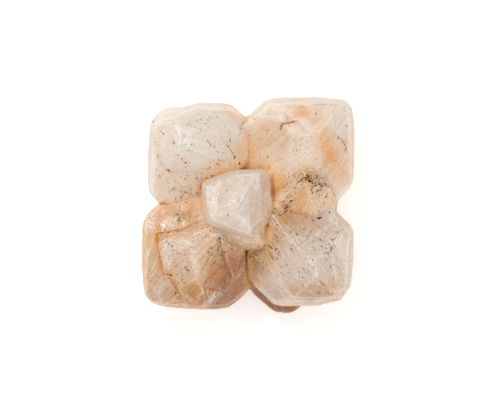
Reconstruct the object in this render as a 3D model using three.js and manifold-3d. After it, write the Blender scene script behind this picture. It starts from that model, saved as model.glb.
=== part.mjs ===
// A cluster of intergrown chabazite crystals, in millimetres, +Z up, resting on the flat
// where it was broken off its rock. The origin is the centre of that flat.
//
// Each crystal is cut the way its faces bound it: a plain block is trimmed by one plane per
// crystal face. Four stout crystals stand round the axis and lean outwards, a fifth rides on
// top of them, and smaller ones fill in between and below. They have grown into one another,
// so they are joined into one solid. Compass words are used for directions: north is +Y.
import * as THREE from "three";
import { mergeVertices } from "three/addons/utils/BufferGeometryUtils.js";
import Module from "manifold-3d";

const wasm = await Module();
wasm.setup();

// ---- driving dimensions -------------------------------------------------------------------

// Height above the flat of the level each crystal's corners are measured down from.
const TOP = {
  summit: 27.5,
  northWest: 22.6,
  northEast: 23.4,
  saddle: 23.0,
  southWest: 20.8,
  southEast: 22.4,
};
const GIRDLE = 12.5; // height at which the big crystals are widest
const FLARE = 10; // degrees from upright that a side face leans in above the girdle
const TAPER = 27; // degrees from upright that it leans in below the girdle
const STEP = 0.16; // thickness of one growth layer on a face
const RIM = 0.14; // how far in from the edges of its face a growth layer stops
const BLANK = 60; // edge of the block that each crystal is cut from
const RHOMB_LEAN = 51.4; // angle between a chabazite rhomb's face normals and its long axis
const BLUNT = 1.42; // how far out a rhomb's blunted corners lie, in half widths
const SKIN_COLOUR = 0xe6d3bf;

// ---- planes and solids --------------------------------------------------------------------

const radians = THREE.MathUtils.degToRad;

// A closed three.js geometry as a manifold solid.
function solidOf(geometry) {
  const bare = geometry.clone();
  bare.deleteAttribute("normal");
  bare.deleteAttribute("uv");
  const merged = mergeVertices(bare);
  return new wasm.Manifold(
    new wasm.Mesh({
      numProp: 3,
      vertProperties: new Float32Array(merged.attributes.position.array),
      triVerts: new Uint32Array(merged.index.array),
    }),
  );
}

// A manifold solid as a flat-shaded three.js geometry.
function geometryOf(solid) {
  const { numProp, vertProperties, triVerts } = solid.getMesh();
  const positions = new Float32Array((vertProperties.length / numProp) * 3);
  for (let i = 0; i < positions.length / 3; i += 1) {
    positions.set(vertProperties.subarray(i * numProp, i * numProp + 3), i * 3);
  }
  const geometry = new THREE.BufferGeometry();
  geometry.setAttribute("position", new THREE.BufferAttribute(positions, 3));
  geometry.setIndex(new THREE.BufferAttribute(new Uint32Array(triVerts), 1));
  const flat = geometry.toNonIndexed();
  flat.computeVertexNormals();
  return flat;
}

// The plane through three points, its normal turned away from the heart of the crystal.
function planeThrough(a, b, c, heart) {
  const plane = new THREE.Plane().setFromCoplanarPoints(a, b, c);
  return plane.distanceToPoint(heart) > 0 ? plane.negate() : plane;
}

// The plane through a point that looks towards a compass angle (0 is +X, 90 is +Y) and is
// tilted that many degrees from level.
function planeFacing(at, towards, tilt) {
  const normal = new THREE.Vector3().setFromSphericalCoords(1, radians(tilt), radians(90 + towards));
  normal.set(normal.x, -normal.z, normal.y);
  return new THREE.Plane().setFromNormalAndCoplanarPoint(normal, at);
}

// The side faces above and below one edge of the girdle.
function sidePlanes(from, to, heart, flare, taper) {
  const along = to.clone().sub(from);
  const out = new THREE.Vector3(along.y, -along.x, 0).normalize();
  const leaning = (lean, up) => {
    const slope = new THREE.Vector3(0, 0, up * Math.cos(radians(lean)));
    slope.addScaledVector(out, -Math.sin(radians(lean)));
    return planeThrough(from, to, from.clone().add(slope), heart);
  };
  return [leaning(flare, 1), leaning(taper, -1)];
}

// Every face of a crystal as a plane with its normal outwards: the crown faces through named
// corners, bevels across corners and edges, and the sides above and below the girdle.
function facesOf({ top, corners, crown, bevels = {}, girdle, flare = FLARE, taper = TAPER }) {
  const at = (name) => new THREE.Vector3(...corners[name]).add(new THREE.Vector3(0, 0, top));
  const rim = girdle.map(([x, y, z = GIRDLE]) => new THREE.Vector3(x, y, z));
  const heart = rim.reduce((sum, p) => sum.add(p), new THREE.Vector3()).divideScalar(rim.length);
  const faces = {};
  for (const [name, names] of Object.entries(crown)) {
    faces[name] = planeThrough(...names.map(at), heart);
  }
  for (const [name, { at: [x, y, drop], towards, tilt }] of Object.entries(bevels)) {
    faces[name] = planeFacing(new THREE.Vector3(x, y, top + drop), towards, tilt);
  }
  rim.forEach((from, i) => {
    const [above, below] = sidePlanes(from, rim[(i + 1) % rim.length], heart, flare, taper);
    faces[`side${i}`] = above;
    faces[`foot${i}`] = below;
  });
  return { faces, heart };
}

// The faces of a blunt rhomb, the plain habit of chabazite: two sets of three faces round its
// long axis and a small facet across each corner.
function rhombOf({ at, width, stretch = 1, turn }) {
  const heart = new THREE.Vector3(...at);
  const spin = new THREE.Euler(...turn.map(radians));
  const normals = [0, 120, 240].map((angle) =>
    new THREE.Vector3().setFromSphericalCoords(1, radians(RHOMB_LEAN), radians(angle)),
  );
  const faces = {};
  const addPair = (name, normal, reach) => {
    const outward = normal.clone().applyEuler(spin);
    [outward, outward.clone().negate()].forEach((side, i) => {
      const onFace = heart.clone().addScaledVector(side, reach);
      faces[`${name}${i}`] = new THREE.Plane().setFromNormalAndCoplanarPoint(side, onFace);
    });
  };
  const half = width / 2;
  normals.forEach((normal, i) => addPair(`rhomb${i}-`, normal, i === 0 ? half * stretch : half));
  const [a, b, c] = normals;
  const diagonals = [
    a.clone().add(b).add(c),
    a.clone().add(b).sub(c),
    a.clone().sub(b).add(c),
    b.clone().add(c).sub(a),
  ];
  diagonals.forEach((corner, i) => addPair(`corner${i}-`, corner.normalize(), half * BLUNT * stretch ** 0.5));
  return { faces, heart };
}

// The block trimmed by every face.
function cut({ faces, heart }) {
  const block = solidOf(new THREE.BoxGeometry(BLANK, BLANK, BLANK).translate(...heart.toArray()));
  return Object.values(faces).reduce(
    (solid, { normal, constant }) => solid.trimByPlane(normal.clone().negate().toArray(), constant),
    block,
  );
}

// A growth layer on one face: that face moved out by whole steps and the others moved in,
// by a thin rim all round but for the faces named in short, from which it stops well short.
function layerOn({ faces, heart }, { face, steps = 1, short = {} }) {
  const moved = {};
  for (const [name, plane] of Object.entries(faces)) {
    const inward = name === face ? -steps * STEP : (short[name] ?? RIM * steps);
    moved[name] = new THREE.Plane(plane.normal, plane.constant + inward);
  }
  return cut({ faces: moved, heart });
}

const layered = (shape, layers = []) => [cut(shape), ...layers.map((layer) => layerOn(shape, layer))];

// ---- the five big crystals and the skirt under the top one --------------------------------
// corners are [x, y, height against the crystal's top]; girdle points run anticlockwise seen
// from above, as [x, y, height above the flat].

const northWest = {
  top: TOP.northWest,
  corners: {
    apex: [-12.4, 12.7, 0],
    upperLeft: [-16.0, 18.0, -2.1],
    upperRight: [-5.5, 17.5, -2.8],
    lowerRight: [-3.0, 8.0, -3.4],
    lowerLeft: [-17.0, 6.6, -2.5],
  },
  crown: {
    north: ["apex", "upperLeft", "upperRight"],
    east: ["apex", "upperRight", "lowerRight"],
    south: ["apex", "lowerRight", "lowerLeft"],
    west: ["apex", "lowerLeft", "upperLeft"],
  },
  bevels: {
    lobe: { at: [-16.4, 5.6, -3.0], towards: 226, tilt: 40 },
    lobeRim: { at: [-18.4, 2.6, -5.2], towards: 226, tilt: 62 },
    northRim: { at: [-9.0, 17.9, -2.9], towards: 91, tilt: 42 },
    shoulder: { at: [-4.6, 16.6, -3.4], towards: 42, tilt: 46 },
    flank: { at: [-16.9, 12.6, -1.5], towards: 176, tilt: 38 },
    flankRim: { at: [-19.0, 12.0, -3.7], towards: 178, tilt: 60 },
    table: { at: [-12.4, 12.6, -0.2], towards: 250, tilt: 6 },
  },
  girdle: [
    [0.6, 8.0, 13.5],
    [0.6, 16.2, 14.0],
    [-0.8, 18.2, 13.0],
    [-3.4, 20.4, 11.0],
    [-10.6, 20.8, 12.5],
    [-13.6, 19.5, 13.0],
    [-18.4, 17.6, 13.5],
    [-19.8, 15.6, 13.0],
    [-20.3, 10.0, 10.5],
    [-20.6, 4.8, 11.5],
    [-19.9, 2.4, 12.5],
    [-17.9, 0.4, 13.0],
    [-15.3, -0.8, 13.5],
    [-9.6, 1.2, 14.0],
    [-3.0, 5.0, 14.0],
  ],
  layers: [
    { face: "east", short: { side2: 5.6 } },
    { face: "east", steps: 2, short: { side2: 8.6, north: 0.7 } },
    { face: "south", short: { west: 0.5, lobe: 2.4 } },
    { face: "north", short: { west: 2.4 } },
    { face: "side8", short: { side7: 1.8 } },
    { face: "foot3", steps: 2, short: { foot2: 1.8 } },
    { face: "foot8", steps: 2, short: { foot9: 2.2 } },
  ],
};

// The far corner of the north-west crystal, a parallel growth set a little lower.
const northWestCorner = {
  ...northWest,
  top: TOP.northWest - 0.35,
  girdle: [
    [-8.0, 8.0, 13.0],
    [-8.0, 19.2, 13.0],
    [-13.0, 19.55, 13.0],
    [-15.4, 19.8, 13.0],
    [-17.4, 19.2, 13.5],
    [-18.3, 18.4, 13.5],
    [-19.8, 16.2, 13.0],
    [-20.0, 10.0, 11.5],
  ],
  layers: [],
};

const northEast = {
  top: TOP.northEast,
  corners: {
    stepEnd: [5.4, 17.6, -1.3],
    crestLeft: [9.3, 14.3, 0],
    crestRight: [14.3, 14.1, -0.2],
    upperRight: [18.8, 20.0, -2.2],
    frontLeft: [9.4, 7.6, -1.9],
    frontRight: [13.8, 9.0, -1.6],
  },
  crown: {
    north: ["crestLeft", "crestRight", "upperRight"],
    west: ["stepEnd", "crestLeft", "frontLeft"],
    south: ["crestLeft", "crestRight", "frontLeft"],
    east: ["crestRight", "upperRight", "frontRight"],
  },
  bevels: {
    shoulder: { at: [4.8, 17.9, -1.9], towards: 136, tilt: 36 },
    shoulderRim: { at: [2.0, 19.0, -4.2], towards: 136, tilt: 58 },
    northRim: { at: [10.0, 20.5, -2.3], towards: 91, tilt: 40 },
    lap: { at: [18.2, 6.4, -5.0], towards: -34, tilt: 50 },
    lapRim: { at: [19.4, 3.6, -7.6], towards: -42, tilt: 66 },
    cornerRim: { at: [19.4, 20.2, -3.0], towards: 44, tilt: 48 },
  },
  girdle: [
    [21.2, 4.2, 10.5],
    [21.5, 10.9, 11.5],
    [21.2, 19.0, 14.0],
    [19.9, 20.8, 14.0],
    [18.6, 21.3, 13.5],
    [14.5, 21.8, 12.0],
    [5.5, 21.8, 11.5],
    [3.6, 21.3, 12.5],
    [-2.9, 15.3, 13.5],
    [-1.9, 8.0, 14.0],
    [3.0, 1.0, 14.0],
    [12.0, -1.0, 13.0],
    [18.5, 0.9, 11.5],
  ],
  layers: [
    { face: "west", short: { side7: 6.4 } },
    { face: "west", steps: 2, short: { side7: 9.8, north: 0.6 } },
    { face: "west", steps: 3, short: { side7: 12.2, north: 1.0 } },
    { face: "north", short: { west: 1.6 } },
    { face: "east", short: { north: 2.4 } },
    { face: "shoulder", short: { west: 0.9 } },
    { face: "side1", short: { side2: 2.2 } },
    { face: "side5", short: { side4: 2.6 } },
    { face: "foot1", steps: 2, short: { foot0: 2.0 } },
    { face: "foot6", steps: 2, short: { foot5: 3.0 } },
  ],
};

const saddle = {
  top: TOP.saddle,
  corners: {
    apex: [11.2, 5.0, 0],
    lowerLeft: [5.0, -0.8, -2.6],
    band: [10.0, 7.4, -1.2],
    lowerRight: [13.8, -2.6, -3.9],
    right: [17.5, 2.5, -3.9],
  },
  crown: {
    northWest: ["apex", "lowerLeft", "band"],
    south: ["apex", "lowerLeft", "lowerRight"],
    east: ["apex", "lowerRight", "right"],
  },
  bevels: {
    northRim: { at: [13.6, 7.6, -1.9], towards: 74, tilt: 44 },
    eastRim: { at: [16.6, 3.4, -3.6], towards: 22, tilt: 46 },
  },
  girdle: [
    [18.1, -0.6],
    [18.0, 1.6],
    [16.9, 4.6],
    [15.4, 7.6],
    [13.6, 9.0],
    [11.8, 9.0],
    [10.0, 8.1],
    [4.2, 2.4],
    [4.2, -1.2],
    [8.0, -2.8],
    [13.5, -3.4],
    [16.6, -2.2],
  ],
  flare: 8,
  layers: [
    { face: "south", short: { east: 2.4 } },
    { face: "northWest", short: { side8: 1.6 } },
  ],
};

const southEast = {
  top: TOP.southEast,
  corners: {
    apex: [13.3, -10.9, 0],
    upperLeft: [4.3, -3.3, -1.2],
    upperRight: [18.9, -6.9, -2.4],
    lower: [13.7, -13.7, -0.5],
  },
  crown: {
    north: ["apex", "upperLeft", "upperRight"],
    east: ["apex", "upperRight", "lower"],
    southWest: ["apex", "lower", "upperLeft"],
  },
  bevels: {
    south: { at: [13.7, -13.7, -0.5], towards: -81, tilt: 32 },
    corner: { at: [17.9, -4.6, -3.0], towards: 40, tilt: 38 },
    cornerRim: { at: [19.6, -3.4, -5.4], towards: 42, tilt: 60 },
    east2: { at: [19.2, -11.0, -3.1], towards: 2, tilt: 52 },
    flank: { at: [6.2, -9.0, -1.9], towards: 200, tilt: 30 },
    flankRim: { at: [1.6, -12.6, -6.3], towards: 216, tilt: 52 },
    southRim: { at: [12.0, -18.9, -3.8], towards: -86, tilt: 54 },
    southWestRim: { at: [5.4, -17.8, -5.0], towards: 236, tilt: 50 },
  },
  girdle: [
    [20.9, -15.9, 11.5],
    [21.3, -11.0, 10.5],
    [21.3, -5.2, 12.0],
    [20.9, -4.3, 12.5],
    [14.0, 2.6, 14.0],
    [4.0, 2.6, 14.5],
    [0.0, -8.0, 14.5],
    [-1.1, -13.9, 13.5],
    [4.9, -20.0, 11.5],
    [6.6, -20.4, 11.5],
    [13.4, -20.4, 12.0],
    [18.9, -19.0, 13.0],
  ],
  layers: [
    { face: "north", short: { east: 1.9 } },
    { face: "north", steps: 2, short: { east: 5.4, corner: 1.0 } },
    { face: "southWest", short: { flankRim: 5.4 } },
    { face: "southWest", steps: 2, short: { flankRim: 7.6, southRim: 1.4 } },
    { face: "east", short: { southWest: 2.6 } },
    { face: "flank", short: { flankRim: 1.6 } },
    { face: "side1", short: { side2: 1.8 } },
    { face: "side9", short: { side8: 2.8 } },
    { face: "foot9", steps: 2, short: { foot8: 1.6 } },
    { face: "foot1", steps: 2, short: { foot2: 2.2 } },
  ],
};

// The south-west crystal is a raised block standing on a wider, lower body of the same crystal.
const southWestBlock = {
  top: TOP.southWest,
  corners: {
    apex: [-11.4, -7.9, 0],
    upperRight: [-7.6, -4.4, -1.0],
    lowerRight: [-10.5, -14.4, -1.35],
    upperLeft: [-18.2, -6.2, -2.0],
    toe: [-9.0, -16.2, -1.9],
    lowerLeft: [-16.0, -14.2, -2.2],
  },
  crown: {
    north: ["apex", "upperRight", "upperLeft"],
    west: ["apex", "upperLeft", "lowerRight"],
    east: ["apex", "upperRight", "lowerRight"],
    south: ["lowerRight", "toe", "lowerLeft"],
  },
  bevels: {
    crest: { at: [-9.9, -10.4, -0.42], towards: 2, tilt: 13 },
  },
  girdle: [
    [-1.2, -5.6, 15.0],
    [-2.0, 0.5, 16.0],
    [-9.0, -2.2, 16.5],
    [-14.0, -5.0, 16.5],
    [-18.2, -5.7, 16.0],
    [-18.6, -6.3, 16.0],
    [-17.4, -13.0, 16.0],
    [-16.2, -14.4, 15.5],
    [-12.0, -16.4, 14.0],
    [-9.0, -16.2, 14.0],
    [-5.7, -12.8, 14.5],
    [-2.6, -8.4, 15.0],
  ],
  flare: 6,
  taper: 8,
  layers: [
    { face: "east", short: { side9: 3.2 } },
    { face: "east", steps: 2, short: { side9: 5.0, north: 0.6 } },
    { face: "west", short: { south: 1.8 } },
    { face: "north", short: { west: 1.2 } },
  ],
};

// The block's toe, one growth step lower.
const southWestToe = {
  ...southWestBlock,
  top: TOP.southWest - 0.4,
  bevels: {
    chin: { at: [-11.5, -17.6, -2.7], towards: -98, tilt: 32 },
  },
  girdle: [
    [-8.7, -15.2, 14.0],
    [-10.6, -13.8, 15.0],
    [-15.8, -14.0, 15.5],
    [-13.9, -17.6, 14.0],
    [-13.0, -20.7, 11.5],
    [-8.4, -20.9, 11.5],
    [-7.8, -18.4, 12.5],
  ],
  taper: 34,
  layers: [{ face: "chin", short: { side5: 1.6 } }],
};

const southWestBody = {
  top: TOP.southWest - 0.9,
  corners: {
    apex: [-11.4, -7.9, 0],
    left: [-18.6, -6.0, -1.9],
    upper: [-16.0, -0.6, -2.6],
    upperRight: [-8.0, -1.0, -2.0],
    lowerLeft: [-18.6, -16.6, -4.0],
    lowerRight: [-8.0, -18.0, -3.5],
    right: [-3.0, -14.0, -3.4],
  },
  crown: {
    north: ["apex", "upper", "upperRight"],
    west: ["apex", "left", "lowerLeft"],
    south: ["apex", "lowerLeft", "lowerRight"],
    east: ["apex", "lowerRight", "right"],
  },
  bevels: {
    northWest: { at: [-18.6, -3.4, -2.4], towards: 144, tilt: 30 },
    westRim: { at: [-20.0, -9.0, -3.3], towards: 178, tilt: 48 },
    southWestRim: { at: [-18.8, -17.4, -4.6], towards: 226, tilt: 42 },
    southRim: { at: [-12.0, -19.5, -4.4], towards: -92, tilt: 44 },
    southEastRim: { at: [-3.4, -17.4, -5.2], towards: -46, tilt: 50 },
  },
  girdle: [
    [0.5, -16.9, 9.5],
    [0.0, -4.0, 13.0],
    [-9.0, 3.0, 13.0],
    [-18.1, 0.3, 12.0],
    [-20.5, -1.9, 12.0],
    [-21.4, -3.7, 11.5],
    [-21.4, -12.1, 10.5],
    [-21.2, -16.3, 11.5],
    [-20.6, -18.7, 12.0],
    [-19.5, -19.8, 12.0],
    [-16.7, -20.6, 11.0],
    [-8.6, -21.0, 10.5],
    [-4.3, -20.9, 9.5],
    [-2.0, -19.3, 9.0],
  ],
  layers: [
    { face: "north", short: { northWest: 1.2 } },
    { face: "north", steps: 2, short: { northWest: 3.2 } },
    { face: "west", short: { south: 2.4 } },
    { face: "south", short: { west: 1.0 } },
    { face: "east", short: { south: 1.6 } },
    { face: "side6", short: { side5: 2.0 } },
    { face: "foot10", steps: 2, short: { foot9: 2.4 } },
  ],
};

// A flake of the lower body that stands proud beside the block's toe.
const southFlake = {
  ...southWestBody,
  top: TOP.southWest - 0.2,
  girdle: [
    [-5.0, -17.6, 12.0],
    [-5.4, -16.6, 12.0],
    [-9.4, -15.2, 12.0],
    [-9.4, -20.2, 11.0],
    [-7.8, -20.4, 11.0],
    [-6.2, -19.8, 11.4],
  ],
  layers: [],
};

const summit = {
  top: TOP.summit,
  corners: {
    apex: [-2.8, -1.8, 0],
    upperRight: [2.8, 7.1, -2.6],
    upperLeft: [-6.0, 5.2, -1.9],
    left: [-7.3, -2.1, 0.1],
    lowerRight: [2.15, -6.1, -2.2],
  },
  crown: {
    north: ["apex", "upperRight", "upperLeft"],
    east: ["apex", "upperRight", "lowerRight"],
    south: ["apex", "left", "lowerRight"],
  },
  bevels: {
    west: { at: [-6.1, 1.4, -0.8], towards: 156, tilt: 42 },
    westRim: { at: [-8.5, 0.0, -2.6], towards: 182, tilt: 66 },
    southWest: { at: [-7.2, -3.0, -0.75], towards: 232, tilt: 48 },
    eastRim: { at: [2.4, 1.0, -2.36], towards: 2, tilt: 60 },
    southEast: { at: [3.5, -3.3, -4.3], towards: -36, tilt: 62 },
    southRim: { at: [-0.2, -6.1, -2.0], towards: -100, tilt: 66 },
    southLip: { at: [-4.6, -4.5, -1.3], towards: 246, tilt: 64 },
  },
  girdle: [
    [4.9, -0.9, 21.2],
    [4.3, 6.3, 21.2],
    [3.1, 7.2, 21.4],
    [-2.3, 7.1, 20.8],
    [-5.0, 6.4, 20.4],
    [-9.1, 4.6, 20.0],
    [-9.4, 3.8, 20.2],
    [-9.3, -0.6, 20.6],
    [-8.5, -4.0, 21.4],
    [-6.6, -4.5, 22.0],
    [-3.6, -5.9, 22.2],
    [2.2, -7.0, 22.4],
    [4.3, -2.7, 21.6],
  ],
  flare: 14,
  taper: 4,
  layers: [
    { face: "north", short: { west: 1.9 } },
    { face: "east", short: { eastRim: 1.4 } },
  ],
};

// The tread of the summit crystal that shows below it as a skirt with a double rim.
const skirt = {
  top: TOP.summit - 2.0,
  corners: {
    upper: [-2.9, -1.8, 0],
    left: [-7.3, -1.9, -0.9],
    right: [2.1, -6.2, -2.4],
  },
  crown: {
    south: ["upper", "left", "right"],
  },
  bevels: {
    cap: { at: [-2.9, -1.8, 0], towards: 90, tilt: 24 },
    rim: { at: [-0.8, -7.7, -4.7], towards: -98, tilt: 50 },
    rimWest: { at: [-4.4, -6.9, -4.9], towards: 220, tilt: 52 },
  },
  girdle: [
    [4.0, -7.9, 18.6],
    [3.9, -2.0, 19.6],
    [-2.0, 4.0, 19.0],
    [-7.0, -2.0, 19.0],
    [-6.6, -4.2, 18.8],
    [-5.0, -6.7, 18.2],
    [-3.9, -7.8, 17.8],
    [-1.8, -8.8, 17.6],
    [0.6, -9.2, 17.6],
    [3.0, -9.0, 18.0],
  ],
  flare: 24,
  taper: 12,
  layers: [
    { face: "south", steps: 2 },
    { face: "rim", steps: 2 },
  ],
};

// ---- the low crystals, the rock side and the join -----------------------------------------

// A low crystal that shows beyond the foot of the south-east one.
const southFoot = {
  top: 10.5,
  corners: {
    apex: [4.0, -17.0, 0],
    left: [-2.0, -14.0, -1.6],
    right: [11.0, -17.0, -1.4],
    toe: [7.0, -21.0, -2.6],
  },
  crown: {
    west: ["apex", "left", "toe"],
    east: ["apex", "toe", "right"],
  },
  girdle: [
    [13.0, -12.0, 6.0],
    [4.0, -8.0, 7.0],
    [-2.6, -14.0, 7.0],
    [0.3, -17.2, 6.6],
    [4.7, -21.5, 6.2],
    [5.7, -21.95, 6.4],
    [9.1, -21.9, 6.0],
    [11.0, -20.4, 5.2],
    [11.8, -19.6, 5.0],
  ],
  flare: 12,
  taper: 34,
  layers: [
    { face: "side3", steps: 2, short: { side2: 1.2 } },
    { face: "west", short: { east: 1.0 } },
  ],
};

// Small rhombs round the foot, in the gaps between the big crystals.
const buds = [
  { at: [-0.6, 10.4, 6.4], width: 9.2, turn: [32, 18, 12] },
  { at: [-10.8, 0.4, 7.4], width: 10.0, turn: [14, -24, 40] },
  { at: [11.2, 0.2, 5.6], width: 9.2, turn: [-20, 28, 66] },
  { at: [-5.6, 14.8, 4.4], width: 7.0, turn: [52, 8, -18] },
  { at: [8.4, 14.2, 3.8], width: 8.4, stretch: 0.8, turn: [24, 40, 24] },
  { at: [14.6, 8.4, 5.0], width: 6.4, turn: [8, 62, 10] },
  { at: [14.0, -9.6, 4.6], width: 7.6, stretch: 1.2, turn: [-36, 12, 48] },
  { at: [-14.8, 7.6, 4.8], width: 7.4, turn: [40, -30, 6] },
  { at: [-15.0, -8.4, 4.2], width: 6.8, stretch: 0.9, turn: [16, 22, -34] },
  { at: [-8.0, -14.6, 4.0], width: 8.2, turn: [-28, -16, 20] },
  { at: [-1.6, 15.0, 3.0], width: 4.4, turn: [10, 44, 30] },
  { at: [15.4, 1.6, 2.6], width: 4.2, turn: [36, -12, 14] },
  { at: [-15.8, 2.2, 3.0], width: 4.6, turn: [-18, 34, 50] },
  { at: [10.6, -15.0, 2.8], width: 5.2, turn: [22, 14, -28] },
];

// The mass that the crystals grew from, broken off level where it left the rock.
const root = {
  top: 15.5,
  corners: {
    apex: [0, 0, 0],
    north: [-1, 12, -3.6],
    south: [2, -12, -3.8],
    west: [-12, 1, -3.4],
    east: [12, -1, -3.6],
  },
  crown: {
    northWest: ["apex", "north", "west"],
    northEast: ["apex", "east", "north"],
    southEast: ["apex", "south", "east"],
    southWest: ["apex", "west", "south"],
  },
  girdle: [
    [14.2, -6.0, 2.6],
    [15.2, 1.0, 3.4],
    [12.6, 9.2, 2.4],
    [7.4, 13.6, 3.6],
    [-1.0, 14.8, 2.8],
    [-8.8, 13.4, 3.8],
    [-13.6, 8.0, 2.4],
    [-15.2, 0.6, 3.2],
    [-14.4, -7.6, 2.8],
    [-9.8, -13.8, 3.6],
    [-1.6, -15.0, 2.2],
    [7.8, -14.2, 3.4],
  ],
  flare: 30,
  taper: 16,
};

const forms = [
  northWest,
  northWestCorner,
  northEast,
  saddle,
  southEast,
  southWestBlock,
  southWestToe,
  southWestBody,
  southFlake,
  summit,
  skirt,
  southFoot,
  root,
];
const pieces = [
  ...forms.flatMap((form) => layered(facesOf(form), form.layers)),
  ...buds.flatMap((form) => layered(rhombOf(form))),
];
const joined = pieces.reduce((whole, piece) => whole.add(piece)).trimByPlane([0, 0, 1], 0);

const cluster = new THREE.Mesh(
  geometryOf(joined),
  new THREE.MeshStandardMaterial({ color: SKIN_COLOUR, roughness: 0.42, metalness: 0 }),
);
cluster.name = "chabazite_cluster";

const specimen = new THREE.Group();
specimen.add(cluster);
export default specimen;
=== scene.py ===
"""A cluster of intergrown chabazite crystals, resting on the flat where it left its rock.

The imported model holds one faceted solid. A skin is grown over a copy of it with the relief
that natural crystals carry, and iron oxide grains are set into that skin.
"""

import logging
import math
import random
from collections.abc import Callable
from dataclasses import dataclass, field
from enum import Enum
from functools import partial, reduce
from typing import Any

import bmesh
import bpy
import numpy as np
from mathutils import Matrix, Vector, noise
from mathutils.bvhtree import BVHTree
from mathutils.kdtree import KDTree

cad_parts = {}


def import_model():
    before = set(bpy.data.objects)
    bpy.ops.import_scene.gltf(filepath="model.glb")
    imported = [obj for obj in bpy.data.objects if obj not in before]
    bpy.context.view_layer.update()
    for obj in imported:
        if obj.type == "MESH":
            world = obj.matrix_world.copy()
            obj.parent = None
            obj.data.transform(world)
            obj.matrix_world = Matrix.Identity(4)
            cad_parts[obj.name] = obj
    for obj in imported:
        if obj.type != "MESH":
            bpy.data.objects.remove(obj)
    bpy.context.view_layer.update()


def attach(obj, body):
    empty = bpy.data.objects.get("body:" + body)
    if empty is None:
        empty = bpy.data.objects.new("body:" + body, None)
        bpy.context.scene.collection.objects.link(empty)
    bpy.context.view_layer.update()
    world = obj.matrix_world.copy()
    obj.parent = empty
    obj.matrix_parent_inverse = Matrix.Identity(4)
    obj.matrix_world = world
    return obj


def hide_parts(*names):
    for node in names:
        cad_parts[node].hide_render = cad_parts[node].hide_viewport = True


MM = 0.001
LOG = logging.getLogger("chabazite")

Tree = bpy.types.NodeTree
Socket = bpy.types.NodeSocket

# Settings of nodes that come up often.
TIMES = {"operation": "MULTIPLY"}
PLUS = {"operation": "ADD"}
SMOOTH = {"interpolation_type": "SMOOTHSTEP"}
COLOUR = {"data_type": "RGBA"}


def linear(hex_colour: int) -> tuple[float, float, float, float]:
    """Turns an sRGB colour, as 0xRRGGBB, into linear light with an alpha of 1."""
    channels = [(hex_colour >> shift & 0xFF) / 255 for shift in (16, 8, 0)]
    light = [c / 12.92 if c <= 0.04045 else ((c + 0.055) / 1.055) ** 2.4 for c in channels]
    return (light[0], light[1], light[2], 1.0)


def add_node(
    tree: Tree,
    kind: str,
    settings: dict[str, Any] | None = None,
    inputs: dict[str | int, Any] | tuple[Any, ...] = (),
    out: str | int = 0,
) -> Socket:
    """Adds a node, sets its properties, and fills or links its inputs.

    Args:
        tree: The node tree to add to.
        kind: The node's type name, without its ShaderNode prefix.
        settings: Properties of the node by name.
        inputs: Values or output sockets for its inputs, in their order or by name or index.
        out: Name or index of the output that is wanted.

    Returns:
        That output of the new node.
    """
    node = tree.nodes.new("ShaderNode" + kind)
    for name, value in (settings or {}).items():
        setattr(node, name, value)
    for key, value in inputs.items() if isinstance(inputs, dict) else enumerate(inputs):
        if isinstance(value, Socket):
            tree.links.new(value, node.inputs[key])
        else:
            node.inputs[key].default_value = value
    return node.outputs[out]


def new_material(name: str, surface: Callable[[Tree], Socket]) -> bpy.types.Material:
    """Makes a material of that name, its nodes filled by what gives its surface."""
    made = bpy.data.materials.new(name)
    made.use_nodes = True
    tree = made.node_tree
    tree.nodes.remove(tree.nodes["Principled BSDF"])
    tree.links.new(surface(tree), tree.nodes["Material Output"].inputs["Surface"])
    return made


def in_scene(name: str, data: bpy.types.ID) -> bpy.types.Object:
    """Makes an object of a mesh, a light or a camera and adds it to the scene."""
    made = bpy.data.objects.new(name, data)
    bpy.context.scene.collection.objects.link(made)
    return made


class Field(Enum):
    """What is stored at each point of the skin for its finish to read."""

    HOLLOW = "hollow"
    SEAM = "seam"
    # White along ridges: wear, with a painted edge highlight.
    RIDGE = "ridge"
    STAIN = "stain"
    # Frosted patches: whiter, partly with painted sparkle.
    FROST = "frost"
    BLUSH = "blush"
    # How much darker a point is painted: its own tone, and painted shade.
    SMOKE = "smoke"
    CLEAR = "clear"
    TOP = "top"
    ACROSS = "across"
    ALONG = "along"


class Line(Enum):
    """The kinds of edges of the solid."""

    RIDGE = "ridge between faces on top"
    BLUNT = "outer edge round them and below"
    SEAM = "inner edge where two crystals meet"
    STEP = "inner edge within one crystal"


@dataclass(frozen=True)
class Crystal:
    """One crystal of the cluster, for what differs from crystal to crystal.

    Attributes:
        heart: Its middle, in millimetres.
        reach: About half its width, in millimetres.
        heading: The way its growth lines run on top, in degrees from +X.
        blush: How warm its colour is: 0 for milky, past 1 for warm all through.
        smoke: How much darker it is, partly its own tone and partly painted shade, below 0 for painted light
            where it lies in shade.
        crisp: How crisp its ridges are, and how white: wear with a painted edge highlight, from 0 to 1.
        specks: How thickly iron oxide lies in it, from 0 to 1.
        clear: How free of cloud it is, from 0 to 1.
    """

    heart: tuple[float, float, float]
    reach: float
    heading: float
    blush: float
    smoke: float
    crisp: float
    specks: float
    clear: float = 0.0


@dataclass(frozen=True)
class Spot:
    """A soft-edged patch seen from above, in millimetres.

    Attributes:
        x: Its centre's x.
        y: Its centre's y.
        long: Half its length.
        wide: Half its width.
        turn: The way its length runs, in degrees from +X.
        strength: How strong it is at its centre.
    """

    x: float
    y: float
    long: float
    wide: float
    turn: float
    strength: float

    def at(self, x: float, y: float) -> float:
        """Gives the patch's strength at a point, both in millimetres."""
        turn = math.radians(self.turn)
        dx, dy = x - self.x, y - self.y
        u = (dx * math.cos(turn) + dy * math.sin(turn)) / self.long
        v = (dy * math.cos(turn) - dx * math.sin(turn)) / self.wide
        return self.strength * math.exp(-(u * u + v * v))


def spots_of(*rows: tuple[float, ...]) -> list[Spot]:
    """Makes spots from rows of x, y, half length, half width, turn and strength."""
    return [Spot(*row) for row in rows]


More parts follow.
